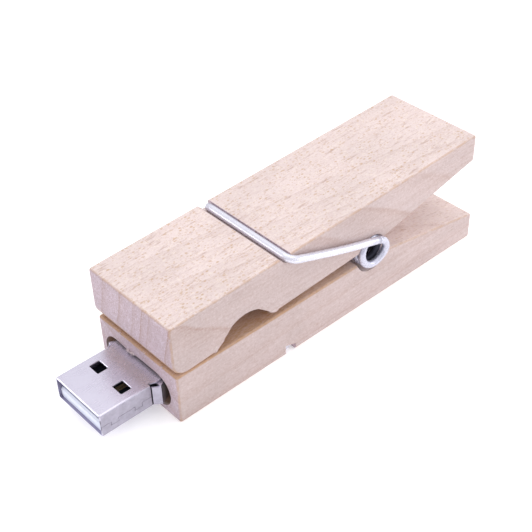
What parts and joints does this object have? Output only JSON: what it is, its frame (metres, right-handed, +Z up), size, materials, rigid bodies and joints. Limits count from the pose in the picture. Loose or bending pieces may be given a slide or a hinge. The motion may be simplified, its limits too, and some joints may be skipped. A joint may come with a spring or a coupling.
{
  "type": "usb flash drive",
  "caption": "Memory stick built into a wooden spring clothes peg: the lower leg holds the board and its metal plug, and the sprung upper leg opens as a clip.",
  "frame": {"origin": "middle of the closed object's footprint, plug and spring included, on the face it lies on", "axes": "+Y along the legs from the plug to the tail, +Z up through both legs, +X the side with the spring's upper arm"},
  "size_m": [0.0236, 0.0826, 0.0232],
  "materials": {
    "beech_wood": "bare fine-sanded beech, satin",
    "spring_wire": "bright zinc or nickel plated spring wire",
    "plug_steel": "nickel-plated stamped sheet, satin",
    "white_insulator": "moulded white plastic",
    "gold_contact": "gold-flashed contact strip",
    "board_laminate": "green solder mask over glass laminate",
    "chip_moulding": "black moulding compound, matte",
    "tinned_leads": "tin-plated lead frame",
    "crystal_can": "seam-welded metal lid",
    "capacitor_ceramic": "sintered ceramic with tinned ends",
    "resistor_ceramic": "black overglaze with tinned ends",
    "led_resin": "clear resin on a white carrier",
    "solder": "solder fillets",
    "glue": "set hot-melt glue"
  },
  "bodies": {
    "lower_half": {"lower_leg": "beech_wood", "spring_lower_arm": "spring_wire", "spring_coil": "spring_wire", "usb_shell": "plug_steel", "usb_insulator": "white_insulator", "contact_power": "gold_contact", "contact_data_minus": "gold_contact", "contact_data_plus": "gold_contact", "contact_ground": "gold_contact", "circuit_board": "board_laminate", "flash_chip": "chip_moulding", "flash_leads": "tinned_leads", "controller_chip": "chip_moulding", "controller_leads": "tinned_leads", "crystal": "crystal_can", "ceramic_capacitors": "capacitor_ceramic", "resistors": "resistor_ceramic", "status_led": "led_resin", "solder_joints": "solder", "glue_beads": "glue"},
    "upper_half": {"upper_leg": "beech_wood", "spring_upper_arm": "spring_wire"}
  },
  "joints": [
    {"name": "peg_hinge", "type": "hinge", "parent": "lower_half", "child": "upper_half", "pos_m": [0, 0.0135, 0.0113], "axis": [-1, 0, 0], "range_deg": [0, 25.5], "stiffness_Nm_per_rad": 0.126, "springref_deg": -57.3, "deforming": ["spring_coil"]}
  ]
}
